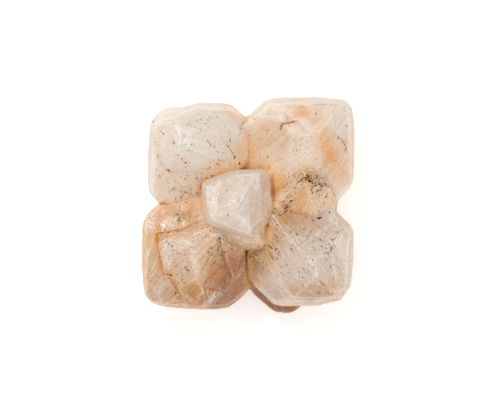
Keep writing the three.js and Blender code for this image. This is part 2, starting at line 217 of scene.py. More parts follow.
CRYSTALS = {
    "north_west": Crystal((-11.0, 10.5, 13.0), 10.0, -50.0, 0.11, 0.0, 0.30, 0.34),
    "north_east": Crystal((10.0, 12.0, 13.5), 10.5, 45.0, 0.23, 0.0, 0.60, 0.14),
    "saddle": Crystal((10.5, 2.4, 19.5), 5.2, 44.0, 0.68, 0.0, 0.80, 0.90),
    "south_east": Crystal((11.0, -11.0, 13.0), 9.5, -48.0, 0.22, 0.17, 0.90, 0.70),
    "south_west": Crystal((-11.0, -11.0, 12.0), 10.0, 50.0, 0.54, 0.13, 0.70, 0.75),
    "summit": Crystal((-2.3, 0.2, 23.5), 6.2, 48.0, 0.09, 0.20, 1.00, 0.06, 0.8),
    "skirt": Crystal((-0.6, -8.2, 17.5), 3.2, 4.0, 0.52, -0.55, 0.70, 0.25, 0.5),
    "foot": Crystal((5.5, -19.0, 5.0), 5.5, -44.0, 1.30, 0.70, 0.50, 0.15),
}

# Broad warm patches, mostly near where the crystals are rooted: their own warm colour, with painted warm
# light where they lie in shade.
DEPTHS = spots_of(
    (-11, 2.5, 6.5, 3.4, -10, 0.4), (-3, 9, 4.4, 3.2, 45, 0.28), (-4, 18.2, 2.6, 1.8, -50, 0.1),
    (3, 11, 5, 4.4, 45, 0.34), (11, 13, 3, 2.2, 0, 0.22), (6, 14, 3, 2.4, 0, 0.15),
    (6, -8, 2.4, 2.4, 0, 0.18), (16.5, -16.5, 2.4, 2, -40, 0.25), (4.2, 0.5, 1, 4.5, -8, 0.5),
    (-14.5, 6, 3, 2.4, 0, 0.14), (17.6, 8, 3.2, 4.6, -70, 0.22), (15.9, 11, 4.2, 2, -72, 0.5),
    (11.5, 9, 3.4, 3, 0, 0.15), (9, 0.4, 4.6, 2.2, 45, 0.5), (8, -3.6, 6, 2.2, -10, 0.55),
    (3, -9.5, 3.2, 5, -10, 0.6), (12, -17.6, 5.4, 2.4, 0, 0.3), (-12.5, -2.2, 6, 2.6, 15, 0.45),
    (-3.5, -11.5, 4.2, 3.6, 45, 1.6), (-3.5, -18, 4, 3, 40, 1.6), (-9, -17, 5, 3, 20, 0.6),
    (20, 5.6, 2.6, 3.4, 0, 0.3), (-20.4, -8, 2, 6, 0, 0.35), (-19, 13, 2, 5, 0, 0.14),
    (2.2, -1.6, 1.9, 5, -10, 0.7), (-3, 4.9, 2.6, 1.3, 0, 0.2),
)

# Painted shade, darker where least light comes back out, and painted light below 0.
SHADES = spots_of(
    (-2.6, -12.6, 4, 3.6, 45, 0.86), (-4, -18, 4.4, 3, 40, 0.84), (-18.5, -18, 3.4, 3, 0, 0.14),
    (-6, -13.6, 2.6, 1.8, 30, 0.34), (-6, -18.9, 1.8, 0.7, 55, 0.45), (-11, -18.5, 5, 2.4, 0, 0.42),
    (-12.5, -2, 6, 2.4, 15, 0.24), (2.6, -10.8, 2.6, 4, -20, 0.06), (9, -3, 5, 2, -10, 0.18),
    (11.5, -17.6, 6, 2.4, 0, 0.22), (6, -8, 2.4, 2.4, 0, 0.08), (0.4, -13.6, 0.9, 3.4, 0, -0.3),
    (4.2, 0.5, 1, 4.5, -8, -0.4), (16.5, -16.5, 2.4, 2, -40, 0.06), (-15.5, 7.5, 2.6, 3, 0, 0.06),
    (5.5, -18, 1.6, 1.6, 0, 0.18), (-3, 5, 2.6, 1.2, 0, 0.1), (-20.2, -8, 1.2, 4, 0, 0.1),
    (-19, 13, 1.6, 5, 0, 0.07),
)

# Orange iron stain, along cracks and in patches under the faces.
STAINS = spots_of(
    (11.2, 18.2, 3.3, 1.8, -20, 0.52), (9.8, 17.4, 2, 1.2, 10, 0.62), (12.6, 17.1, 1.8, 1, -20, 0.45),
    (12.5, 20.6, 3, 0.5, 4, 0.3), (16.1, 10.6, 4.6, 2, -73, 0.64), (15.4, 14.4, 1.8, 0.9, -80, 0.35),
    (19.6, 12.6, 1.8, 0.8, -60, 0.25), (3.6, 15.4, 1.4, 1, 20, 0.3), (-0.6, 12.6, 3, 1, 70, 0.3),
    (6.2, 5.6, 4.6, 1.5, 45, 0.16), (-3.2, 17.9, 1.8, 1.1, -40, 0.26), (-4.5, 19.3, 1.3, 0.6, -60, 0.25),
    (-18.1, -7, 0.9, 2.8, 6, 0.8), (-17.5, -11.4, 0.8, 2.6, 6, 0.8), (-16.2, -13.4, 1.6, 0.7, -10, 0.62),
    (-14.4, -15.8, 2.4, 0.8, -60, 0.55), (-13.2, -18.6, 2, 0.9, -60, 0.4), (-16.2, -5.6, 2.6, 0.9, 6, 0.7),
    (-13, -4.6, 2, 0.7, 20, 0.5), (-17.2, -3, 2.4, 1.6, 60, 0.45), (-15, -0.9, 3, 0.9, -20, 0.45),
    (-11.4, -0.4, 3.6, 0.9, 22, 0.45), (-5.8, -13.6, 1.8, 1.1, 30, 1.1), (-3.4, -11.4, 3, 2.2, 40, 0.35),
    (-3.2, -15.8, 3.4, 2.4, 40, 0.45), (-10.5, -17.6, 3.6, 2, -10, 0.3), (-14, -5.4, 2.6, 1.2, 15, 0.35),
    (20.2, -10.6, 0.7, 1.3, 10, 0.6), (16.4, -15.4, 1, 0.8, 0, 0.25), (13.9, -17.4, 0.7, 0.6, 0, 0.4),
    (9, -1.8, 4.6, 0.9, -4, 0.4),
)

# Sugary or bruised patches, whiter and rougher than the faces round them, their white partly painted sparkle.
FROSTS = spots_of(
    (-12.2, 12.4, 2, 1.2, -20, 0.7), (-14.6, 17, 3.4, 1.3, 14, 0.3), (-8.6, 15, 3, 1.2, -40, 0.25),
    (-16.9, 12.8, 0.6, 2.6, 0, 0.45), (11.6, 10.8, 1.8, 2.6, 0, 0.42), (11, 14.2, 2.2, 0.4, 0, 0.5),
    (-16, -3.4, 1.6, 1.1, 20, 0.95), (-19.4, -3.6, 1, 2, -20, 0.8), (-16.2, -9.6, 0.9, 2.6, 4, 1),
    (-14, -8.4, 3, 1, 10, 0.65), (-10.7, -11.4, 3, 1, -76, 0.5), (-7.2, -18.6, 1.8, 0.5, 60, 0.8),
    (-6.2, -18.2, 0.6, 1.6, -30, 0.7), (-9.4, -17.8, 2.4, 0.4, 58, 0.6), (-11.6, -18.8, 1.6, 0.4, -40, 0.5),
    (-7.4, 2, 1.2, 2.8, 10, 0.9), (-8.2, 4, 1, 0.6, 30, 0.6), (-3.6, 0.4, 1.6, 0.5, 30, 0.6),
    (1.6, 4.2, 0.5, 1.2, 0, 0.5), (12.2, -11, 1.3, 0.6, -40, 0.8), (9.4, -8.2, 2.2, 0.4, -42, 0.6),
    (16.6, -7.9, 2.6, 0.6, 36, 0.6), (19.6, -9.4, 0.4, 1.6, 0, 0.5), (-18.6, 1.9, 2.2, 0.4, -42, 0.6),
    (-15.4, 4.2, 0.4, 1.2, 10, 0.4),
)

# Where iron oxide grains lie thickest.
SWARMS = spots_of(
    (12.6, 5.3, 2.6, 1.3, -8, 2.6), (14.6, 2.6, 2, 3, 30, 1), (9, -0.4, 4.2, 1.4, 34, 1.4),
    (13, -6.4, 4.6, 2, -38, 1.2), (14, -15.6, 1.8, 2.6, 40, 0.8), (9.2, -13.6, 2.6, 1, 0, 0.5),
    (1.6, -9.6, 2.2, 2.2, -48, 1.2), (-5.2, -9.2, 2.6, 3, 50, 0.9), (-8, -11, 1.6, 4, -42, 0.5),
    (-12.6, -12.6, 2.6, 1.4, -20, 1.2), (-12.6, -2.6, 3.6, 1.4, 16, 1.3), (-13.8, 5.6, 5, 2.2, -38, 0.5),
    (-10.6, 2.6, 5, 1.6, 8, 0.45), (-12.4, 12.6, 2, 1.4, -30, 0.7), (-4.6, 9.6, 1.6, 3.4, 40, 0.5),
    (11.2, 12, 1.4, 2, 0, 0.4),
)

# Edges that are worn soft although the solid has them crisp.
SOFTENED = spots_of(
    (-2.9, 2.2, 4.2, 0.9, 84, 1), (-11.4, -16.6, 3.4, 1.6, -25, 1),
)


@dataclass(frozen=True)
class Relief:
    """What stands off a crystal's flat faces, each part by its height in millimetres.

    Attributes:
        swell: Broad swells of a face.
        lump: Smaller lumps, missing where the crystal is clear.
        fine_line: Fine growth lines.
        broad_line: Broad growth lines.
        terrace: One step of the flights that growth leaves.
        grit: Grit all over.
        chip: The depth of chips along the edges.
        crinkle: The crinkling of frosted faces.
    """

    swell: float = 0.07
    lump: float = 0.035
    fine_line: float = 0.035
    broad_line: float = 0.05
    terrace: float = 0.024
    grit: float = 0.025
    chip: float = 0.24
    crinkle: float = 0.10

    def at(self, p: Vector, here: dict[Field, float], edge: float) -> float:
        """Gives how far the skin stands off the flat face at a point.

        Args:
            p: The point, in millimetres.
            here: What the finish reads there.
            edge: 1 on an edge, falling to 0 away from it.

        Returns:
            The height, in millimetres.
        """
        along, across, clear = here[Field.ALONG], here[Field.ACROSS], here[Field.CLEAR]
        swell = noise.fractal(p * 0.16, 1.0, 2.0, 3) * self.swell
        swell += noise.noise(p * 0.45) * self.lump * (1 - clear)
        growth = noise.noise(Vector((across * 1.5, along * 0.16, 3.7))) * self.fine_line
        growth += noise.noise(Vector((across * 0.55, along * 0.10, 9.1))) * self.broad_line
        flight = noise.noise(Vector((across * 0.34, along * 0.09, p.z * 0.05 + 1.3))) * 7
        tread = math.floor(flight)
        rise = min(1.0, max(0.0, (flight - tread - 0.32) / 0.36))
        terrace = (tread + rise * rise * (3 - 2 * rise)) * self.terrace
        grit = noise.fractal(p * 1.1, 0.8, 2.1, 3) * self.grit
        chips = -max(0.0, noise.noise(p * 0.9 + Vector((2, 8, 4))) - 0.05) * self.chip * edge
        wrinkle = noise.noise(Vector((across * 1.1, along * 1.9, 5.5)))
        crinkle = (1 - abs(wrinkle) * 3) * self.crinkle * here[Field.FROST]
        calm = 1 - 0.45 * clear
        return swell + (growth + terrace + grit) * calm * (1 - 0.6 * edge) + chips + crinkle


@dataclass
class CrystalSkin:
    """The cluster's surface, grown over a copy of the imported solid.

    Attributes:
        node: The solid that it follows.
        cell: Longest edge of a triangle on top, in millimetres.
        rounds: How many times edges longer than that are halved.
        wear: Rounds of rounding off that a soft edge gets.
        sharp: Angle between two faces past which their edge counts, in degrees.
        crisp_level: How level the two faces of an edge lie, from 1 for flat, for it to be crisp.
        shortest: The shortest edge that counts, in millimetres.
        smallest: The smallest face that an inner edge counts beside, in square millimetres.
        clean_above: Height above which the thin steps are left out, in millimetres.
        step: The widest of those steps, in millimetres.
        lamp_rays: How many ways each point is tried for how open it is.
        sight: How far a face can shade another, in millimetres.
        chip_reach: How far from an edge chips reach, in millimetres.
        ridge_reach: How far the white of a crisp ridge reaches, in millimetres.
        blunt_reach: How far the white of a blunt edge reaches, in millimetres.
        seam_reach: How far the dirt of a seam reaches, in millimetres.
        relief: What stands off its faces.
    """

    node: str = "chabazite_cluster"
    cell: float = 0.40
    rounds: int = 6
    wear: int = 16
    sharp: float = 12.0
    crisp_level: float = 0.74
    shortest: float = 0.4
    smallest: float = 1.2
    clean_above: float = 20.9
    step: float = 0.52
    lamp_rays: int = 32
    sight: float = 9.0
    chip_reach: float = 0.5
    ridge_reach: float = 0.18
    blunt_reach: float = 0.2
    seam_reach: float = 0.45
    relief: Relief = Relief()
    obj: bpy.types.Object | None = None
    solid: BVHTree | None = None
    lines: dict[Line, KDTree] = field(default_factory=dict)
    facet_normals: list[Vector] = field(default_factory=list)
    facet_owners: list[Crystal] = field(default_factory=list)
    facets: list[int] = field(default_factory=list)
    owners: list[Crystal] = field(default_factory=list)

    def build(self) -> bpy.types.Object:
        """Builds the skin, with its relief and what its finish reads, and returns it."""
        form = self.merged_solid()
        self.solid = BVHTree.FromBMesh(form)
        self.facet_normals = [face.normal.copy() for face in form.faces]
        self.facet_owners = self.owners_of(form)
        self.lines = self.edge_lines(form)
        self.obj = self.divided(form)
        form.free()
        self.finish_points()
        LOG.info("%s: %d faces", self.obj.name, len(self.obj.data.polygons))
        return self.obj

    def merged_solid(self) -> bmesh.types.BMesh:
        """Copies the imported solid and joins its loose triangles.

        Returns:
            The copy, closed, with its faces pointing out.
        """
        form = bmesh.new()
        form.from_mesh(bpy.data.objects[self.node].data)
        bmesh.ops.remove_doubles(form, verts=form.verts, dist=2e-6)
        high = [vert for vert in form.verts if vert.co.z > self.clean_above * MM]
        bmesh.ops.remove_doubles(form, verts=high, dist=self.step * MM)
        bmesh.ops.dissolve_limit(form, angle_limit=math.radians(0.4), verts=form.verts, edges=form.edges)
        bmesh.ops.triangulate(form, faces=form.faces)
        bmesh.ops.recalc_face_normals(form, faces=form.faces)
        form.faces.index_update()
        return form

    def owners_of(self, form: bmesh.types.BMesh) -> list[Crystal]:
        """Finds the crystal that each face of the solid belongs to.

        Faces that meet over a ridge are of one crystal, and a seam or the flat underneath
        parts two of them. Each such patch goes to the crystal whose heart is nearest.

        Args:
            form: The merged solid.

        Returns:
            The crystal of each face.
        """
        owners: dict[int, Crystal] = {}
        for seed in form.faces:
            if seed.index in owners:
                continue
            patch, queue = {seed.index}, [seed]
            middle, area = Vector(), 0.0
            while queue:
                face = queue.pop()
                middle += face.calc_center_median() * face.calc_area()
                area += face.calc_area()
                for edge in face.edges:
                    if edge.calc_face_angle_signed(0.0) < math.radians(-self.sharp):
                        continue
                    for beside in edge.link_faces:
                        if beside.index not in patch and beside.normal.z > -0.9:
                            patch.add(beside.index)
                            queue.append(beside)
            middle *= 1 / (area * MM)
            nearest = min(CRYSTALS.values(), key=lambda one: (middle - Vector(one.heart)).length / one.reach)
            owners.update(dict.fromkeys(patch, nearest))
        return [owners[face.index] for face in form.faces]

    def edge_lines(self, form: bmesh.types.BMesh) -> dict[Line, KDTree]:
        """Sorts the solid's edges by kind and samples them.

        Args:
            form: The merged solid.

        Returns:
            Points along the edges of each kind.
        """
        samples: dict[Line, list[Vector]] = {kind: [] for kind in Line}
        for edge in form.edges:
            kind = self.kind_of(edge)
            if kind is None:
                continue
            steps = max(1, round(edge.calc_length() / (0.1 * MM)))
            start, end = (vert.co for vert in edge.verts)
            for i in range(steps + 1):
                point = start.lerp(end, i / steps)
                if all(spot.at(point.x / MM, point.y / MM) < 0.5 for spot in SOFTENED):
                    samples[kind].append(point)
        trees = {}
        for kind, points in samples.items():
            trees[kind] = KDTree(len(points))
            for index, point in enumerate(points):
                trees[kind].insert(point, index)
            trees[kind].balance()
        return trees

    def kind_of(self, edge: bmesh.types.BMEdge) -> Line | None:
        """Gives the kind of one of the solid's edges, or None for one that doesn't count."""
        if len(edge.link_faces) != 2:
            return None
        angle = math.degrees(edge.calc_face_angle_signed())
        if abs(angle) < self.sharp or edge.calc_length() < self.shortest * MM:
            return None
        if angle >= 0:
            level = sum(face.normal.z for face in edge.link_faces) / 2
            return Line.RIDGE if level >= self.crisp_level else Line.BLUNT
        if min(face.calc_area() for face in edge.link_faces) < self.smallest * MM * MM:
            return None
        first, second = (self.facet_owners[face.index] for face in edge.link_faces)
        return Line.STEP if first is second else Line.SEAM

    def gap(self, kind: Line, place: Vector) -> float:
        """Gives how far a place is from the nearest edge of a kind, in millimetres."""
        found = self.lines[kind].find(place)
        return found[2] / MM if found[2] is not None else 99.0

    def longest(self, edge: bmesh.types.BMEdge) -> float:
        """Gives how long an edge may stay, in metres: short on top, longer on walls and below."""
        if max(vert.co.z for vert in edge.verts) < 0.1 * MM:
            return 6 * self.cell * MM
        up = max(face.normal.z for face in edge.link_faces)
        return (1.0 if up > 0.25 else 1.7) * self.cell * MM

    def divided(self, form: bmesh.types.BMesh) -> bpy.types.Object:
        """Divides the solid's faces until they are fine enough to carry relief.

        Args:
            form: The merged solid.

        Returns:
            The new object, its edges worn and its crisp ones kept sharp.
        """
        work = form.copy()
        facet = work.faces.layers.int.new("facet")
        for face in work.faces:
            face[facet] = face.index
        for _ in range(self.rounds):
            long = [edge for edge in work.edges if edge.calc_length() > self.longest(edge)]
            bmesh.ops.subdivide_edges(work, edges=long, cuts=1, use_grid_fill=True)
            bmesh.ops.triangulate(work, faces=[face for face in work.faces if len(face.verts) > 3])
        work.verts.index_update()
        self.facets = [vert.link_faces[0][facet] for vert in work.verts]
        self.owners = [self.facet_owners[index] for index in self.facets]
        free = [
            all(face.normal.dot(vert.link_faces[0].normal) > 0.9999 for face in vert.link_faces)
            for vert in work.verts
        ]
        mesh = bpy.data.meshes.new("chabazite_skin")
        work.faces.layers.int.remove(facet)
        work.to_mesh(mesh)
        work.free()
        self.settle(mesh, 6, np.array(free, np.float32)[:, None])
        skin = in_scene("chabazite_skin", mesh)
        self.wear_down(mesh)
        mesh.shade_smooth()
        mesh.set_sharp_from_angle(angle=math.radians(self.sharp))
        return skin

    def wear_down(self, mesh: bpy.types.Mesh) -> None:
        """Rounds a mesh's edges off, least on crisp ridges and where crystals meet."""
        give = np.empty((len(mesh.vertices), 1), np.float32)
        for index, vert in enumerate(mesh.vertices):
            crisp = self.owners[index].crisp
            ridge = crisp * math.exp(-(self.gap(Line.RIDGE, vert.co) ** 2))
            seam = 0.97 * math.exp(-((self.gap(Line.SEAM, vert.co) / 0.8) ** 2))
            give[index] = (1 - max(ridge, seam)) * (1 - 0.5 * crisp) if vert.co.z > 0.3 * MM else 0.0
        self.settle(mesh, self.wear, give)

    def settle(self, mesh: bpy.types.Mesh, rounds: int, give: np.ndarray) -> None:
        """Draws a mesh's points towards their neighbours.

        Args:
            mesh: The mesh.
            rounds: How many times it is done.
            give: How much of each round a point takes up, from 0 to 1.
        """
        places = np.empty(len(mesh.vertices) * 3, np.float32)
        mesh.vertices.foreach_get("co", places)
        places = self.evened(mesh, places.reshape(-1, 3), rounds, give)
        mesh.vertices.foreach_set("co", places.ravel())
        mesh.update()

    @staticmethod
    def evened(mesh: bpy.types.Mesh, stored: np.ndarray, rounds: int, give: Any = 1.0) -> np.ndarray:
        """Averages rows of values with their neighbours' along the mesh's edges.

        Args:
            mesh: The mesh that the values belong to.
            stored: One row for each of its points.
            rounds: How many times it is done.
            give: How much of each averaging a point takes up, from 0 to 1.

        Returns:
            The evened rows.
        """
        ends = np.empty(len(mesh.edges) * 2, np.int32)
        mesh.edges.foreach_get("vertices", ends)
        ends = ends.reshape(-1, 2)
        count = len(stored)
        degree = np.maximum(np.bincount(ends.ravel(), minlength=count), 1)
        for _ in range(rounds):
            near = np.empty_like(stored)
            for column in range(stored.shape[1]):
                total = np.bincount(ends[:, 0], stored[ends[:, 1], column], count)
                total += np.bincount(ends[:, 1], stored[ends[:, 0], column], count)
                near[:, column] = total / degree
            stored = stored + 0.5 * give * (near - stored)
        return stored.astype(np.float32)

    def lamps(self) -> list[Vector]:
        """Spreads the ways that each point is tried over the whole sphere, none quite in line."""
        rng = random.Random(7)
        ways = []
        for i in range(self.lamp_rays):
            z = 1 - (2 * i + 1) / self.lamp_rays
            turn = i * math.pi * (3 - math.sqrt(5)) + rng.random() * 0.3
            flat = math.sqrt(1 - z * z)
            ways.append(Vector((flat * math.cos(turn), flat * math.sin(turn), z)))
        return ways

    def openness(self, point: Vector, normal: Vector, lamps: list[Vector]) -> float:
        """Finds how much of what a point could see is shut off by other faces.

        Args:
            point: A point of the skin, in metres.
            normal: Its normal.
            lamps: The directions to try, over the whole sphere.

        Returns:
            0 where it is open, up to 1 in a deep hollow.
        """
        shut, seen = 0.0, 0.0
        start = self.solid.find_nearest(point)[0] + normal * 0.15 * MM
        for lamp in lamps:
            facing = lamp.dot(normal)
            if facing <= 0.05:
                continue
            seen += facing
            hit = self.solid.ray_cast(start, lamp, self.sight * MM)
            if hit[0] is not None:
                shut += facing * (1 - 0.6 * hit[3] / (self.sight * MM))
        return shut / seen if seen else 0.0

    def finish_points(self) -> None:
        """Raises the relief and stores what the finish reads at each point."""
        mesh = self.obj.data
        values = {name: np.zeros(len(mesh.vertices), np.float32) for name in Field}
        normals = [vert.normal.copy() for vert in mesh.vertices]
        lamps = self.lamps()
        for index, (vert, normal) in enumerate(zip(mesh.vertices, normals)):
            p = vert.co / MM
            facet, crystal = self.facet_normals[self.facets[index]], self.owners[index]
            heading = math.radians(crystal.heading)
            line = Vector((math.cos(heading), math.sin(heading), 0))
            line = (line - facet * line.dot(facet)).normalized()
            ridge_gap, blunt_gap = self.gap(Line.RIDGE, vert.co), self.gap(Line.BLUNT, vert.co)
            edge = math.exp(-((min(ridge_gap, blunt_gap) / self.chip_reach) ** 2))
            ridge = math.exp(-((ridge_gap / self.ridge_reach) ** 2))
            blunt = 0.7 * math.exp(-((blunt_gap / self.blunt_reach) ** 2))
            here = self.tints(crystal, p, normal) | {
                Field.HOLLOW: self.openness(vert.co, normal, lamps),
                Field.SEAM: math.exp(-self.gap(Line.SEAM, vert.co) / self.seam_reach),
                # White along crisp ridges and blunt edges: wear, with a painted edge highlight.
                Field.RIDGE: crystal.crisp * max(ridge, blunt),
                Field.ALONG: p.dot(line),
                Field.ACROSS: p.dot(facet.cross(line)),
            }
            for name, value in here.items():
                values[name][index] = value
            if p.z > 0.05:
                vert.co += normal * MM * self.relief.at(p, here, edge)
                vert.co.z = max(vert.co.z, 0.0)
        values[Field.FROST] = np.minimum(values[Field.FROST], 1)
        for name, rounds in ((Field.HOLLOW, 8), (Field.BLUSH, 3), (Field.SMOKE, 3)):
            values[name] = self.evened(mesh, values[name][:, None], rounds).ravel()
        for name, stored in values.items():
            layer = mesh.attributes.new(name.value, "FLOAT", "POINT")
            layer.data.foreach_set("value", stored)
        mesh.update()

    @staticmethod
    def tints(crystal: Crystal, p: Vector, normal: Vector) -> dict[Field, float]:
        """Gives how a point is tinted: its stain, frost, warmth, darkness of tone with painted shade, and
        cloud.

        Args:
            crystal: The crystal that it belongs to.
            p: The point, in millimetres.
            normal: Its normal.

        Returns:
            The values of these fields, and of how far it belongs to the top.
        """
        top = max(0.0, min(1.0, (normal.z - 0.15) * 4)) * max(0.0, min(1.0, (p.z - 9) / 3))
        stain = top * max(spot.at(p.x, p.y) for spot in STAINS)
        stain += (1 - top) * max(0.0, noise.noise(p * 0.16 + Vector((31, 7, 2))) - 0.20)
        deep = 0.4 if crystal.clear else 1.0
        # Walls and low parts are painted warmer and darker with painted shade, less so on a clear crystal's
        # walls.
        low, side = max(0.0, 11 - p.z), (1 - top) * (1 - crystal.clear)
        blush = crystal.blush * (1 + 0.3 * side) + low * 0.02
        smoke = crystal.smoke * (1 - 0.8 * crystal.clear * (1 - top)) + low * 0.01 + side * 0.16
        return {
            Field.STAIN: min(1.0, stain),
            Field.FROST: top * max(spot.at(p.x, p.y) for spot in FROSTS),
            Field.BLUSH: blush + deep * sum(spot.at(p.x, p.y) for spot in DEPTHS),
            Field.SMOKE: smoke + deep * sum(spot.at(p.x, p.y) for spot in SHADES),
            Field.CLEAR: crystal.clear,
            Field.TOP: top,
        }


@dataclass(frozen=True)
class Chabazite:
    """Cloudy chabazite as it grew, unpolished: milky inside, with a wet sheen on its faces.

    The eye sees light that has gone in and come out again warmer, veils inside, worn white ridges,
    and iron stain under the faces and in the hollows. Painted into the colour as well are a warm glow
    in the hollows, shade on shaded and low parts, and highlights on ridges and frosted patches.
    Sizes are in millimetres.
    """

    milk: int = 0xEEE6DE
    honey: int = 0xE8BA7E
    # The colour of darker tone and of painted shade.
    shade_umber: int = 0x965610
    # Painted shade between the crinkles of frosted faces.
    crinkle_shade: int = 0xB49A86
    # Painted glow of light come through, laid in the hollows.
    glow: int = 0xFDD096
    rust: int = 0xF2A03C
    earth: int = 0xA46E38
    sugar: int = 0xFCFAF7
    # Painted glints on frosted faces.
    painted_glint: int = 0xFFFFFF
    dust: int = 0x84562A
    bend_size: float = 3.4
    bend: float = 1.1
    cloud_size: float = 3.0
    veil_size: float = 1.5
    mottle_size: float = 0.42
    streak_size: float = 0.5
    hair_size: float = 0.24
    glint_size: float = 0.55
    crinkle_size: float = 0.9
    dust_size: float = 0.5
    grit_size: float = 0.55

    def material(self) -> bpy.types.Material:
        """Makes the material, which reads the skin's stored fields."""
        return new_material("chabazite_as_grown", lambda tree: ChabaziteNodes(self, tree).surface())


# A colour laid over what is under it: its share, and the colour as hex or as a socket.
Layer = tuple[Socket, int | Socket]


class ChabaziteNodes:
    """Chabazite's node tree while it is filled.

    Attributes:
        look: The colours and sizes to use.
        add: Adds a node to the tree, as add_node does.
        stored: The skin's fields.
        mm: Object coordinates in millimetres.
        light: How light it is inside, less in dark crystals and where shade is painted.
        streak: The growth lines' noise.
        veil: The veils' noise.
        mottle: The fine mottling's noise.
    """

    def __init__(self, look: Chabazite, tree: Tree) -> None:
        """Adds the nodes that several steps share to an empty tree, with a look's colours and sizes."""
        self.look = look
        self.add = add = partial(add_node, tree)
        self.stored = {name: add("Attribute", {"attribute_name": name.value}, out="Fac") for name in Field}
        place = add("TexCoord", out="Object")
        self.mm = add("Mapping", None, {"Vector": place, "Scale": (1 / MM, 1 / MM, 1 / MM)})
        self.light = self.product((self.stored[Field.SMOKE], 0.15, 0.8, 1, 0.2))
        self.streak = self.drawn_out(look.streak_size, 8, 5)
        veil = {"Vector": self.bent(), "Scale": 1 / look.veil_size, "Detail": 5, "Roughness": 0.6}
        self.veil = add("TexNoise", None, veil)
        mottle = {"Vector": self.mm, "Scale": 1 / look.mottle_size, "Detail": 4, "Roughness": 0.62}
        self.mottle = add("TexNoise", None, mottle)

    def surface(self) -> Socket:
        """Gives the whole surface: colours laid from the inside out, relief and sheen."""
        add, product = self.add, self.product
        top, frost, smoke = (self.stored[name] for name in (Field.TOP, Field.FROST, Field.SMOKE))
        colour = linear(self.look.milk)
        for share, over in self.inside() + self.painted_glow_and_stains() + self.worn() + self.fine_lines() + self.dust():
            over = linear(over) if isinstance(over, int) else over
            colour = add("Mix", COLOUR, {0: share, 6: colour, 7: over}, 2)
        grit = {"Vector": self.mm, "Scale": 1 / self.look.grit_size, "Detail": 3, "Roughness": 0.65}
        height = add("Math", PLUS, (add("TexNoise", None, grit), product(self.streak, 0.8)))
        crinkle = product(self.drawn_out(self.look.crinkle_size, 0.5, 2), (frost, 0, 0.6, 0.3, 2))
        facets = add("Math", PLUS, (height, crinkle))
        uneven = product((top, 0, 1, 0.12, 0.6))
        rough = (product((self.mottle, 0.35, 0.65, 0.2, 0.42)), product((top, 0, 1, 0.24, 0)))
        return add(
            "BsdfPrincipled",
            {"subsurface_method": "RANDOM_WALK"},
            {
                "Base Color": colour,
                "Roughness": add("Math", PLUS, rough),
                "IOR": 1.48,
                "Subsurface Weight": 1.0,
                "Subsurface Radius": (1.0, 0.82, 0.62),
                "Subsurface Scale": 0.0032,
                "Coat Weight": product((top, 0, 1, 0.15, 0.85), (smoke, 0.3, 0.9, 1, 0.55)),
                "Coat Roughness": 0.08,
                "Normal": add("Bump", None, {"Height": height, "Distance": 0.00007, "Strength": 0.4}),
                "Coat Normal": add("Bump", None, {"Height": facets, "Distance": 0.00022, "Strength": uneven}),
            },
        )

    def product(self, *factors: Any) -> Socket:
        """Multiplies values together.

        Args:
            factors: Sockets, numbers, or a socket with two of its values and the two they become,
                which is eased between them and goes no further.

        Returns:
            Their product.
        """
        eased = [self.add("MapRange", SMOOTH, one) if isinstance(one, tuple) else one for one in factors]
        return reduce(lambda so_far, one: self.add("Math", TIMES, (so_far, one)), eased)

    def bent(self) -> Socket:
        """Bends the coordinates, so that what is inside doesn't run straight."""
        add, look = self.add, self.look
        drift = add("TexNoise", None, {"Vector": self.mm, "Scale": 1 / look.bend_size, "Detail": 3}, "Color")
        centred = add("VectorMath", {"operation": "SUBTRACT"}, (drift, (0.5, 0.5, 0.5)))
        scaled = add("VectorMath", {"operation": "SCALE"}, {0: centred, "Scale": 2 * look.bend})
        return add("VectorMath", PLUS, (self.mm, scaled))

    def drawn_out(self, size: float, stretch: float, detail: float) -> Socket:
        """Draws a noise out along the growth lines of each face.

        Args:
            size: Width of its marks, in millimetres.
            stretch: How many times longer than wide they are.
            detail: How many finer layers it has.

        Returns:
            The noise.
        """
        run = self.product(self.stored[Field.ALONG], 1 / stretch)
        lines = self.add("CombineXYZ", None, (run, self.stored[Field.ACROSS], 0.0))
        marks = {"Vector": lines, "Scale": 1 / size, "Detail": detail, "Roughness": 0.62}
        return self.add("TexNoise", None, marks)

    def cloudy(self, clear: float, wall: float) -> Socket:
        """Gives how much shows: 1 on top of a cloudy crystal, and so much in a clear one or on a wall."""
        top = (self.stored[Field.TOP], 0, 1, wall, 1)
        return self.product((self.stored[Field.CLEAR], 0, 0.8, 1, clear), top)

    def inside(self) -> list[Layer]:
        """Gives the layers inside the crystal: warm depths, darker tone with painted shade, growth lines and
        veils.
        """
        look, product = self.look, self.product
        blush, smoke, top = (self.stored[name] for name in (Field.BLUSH, Field.SMOKE, Field.TOP))
        cloud = {"Vector": self.mm, "Scale": 1 / look.cloud_size, "Detail": 4, "Roughness": 0.55}
        cloud = self.add("TexNoise", None, cloud)
        return [
            (product(blush, (cloud, 0.35, 0.65, 0.82, 1.2)), look.honey),
            # Darker tone, with painted shade where the cluster lies in shade.
            (smoke, look.shade_umber),
            (product((self.streak, 0.48, 0.7, 0, 0.36), blush, (top, 0, 1, 0.4, 1)), look.earth),
            (product((self.streak, 0.34, 0.46, 0.3, 0), (top, 0, 1, 0.3, 1), self.light), look.sugar),
            (product((self.mottle, 0.5, 0.7, 0, 0.18)), look.earth),
            (product((self.veil, 0.5, 0.66, 0, 0.5), (blush, 0.2, 1, 1, 0.3), self.light), look.milk),
        ]

    def painted_glow_and_stains(self) -> list[Layer]:
        """Gives the painted glow in the hollows, the iron stain, and the iron in the seams."""
        look, product, smoke = self.look, self.product, self.stored[Field.SMOKE]
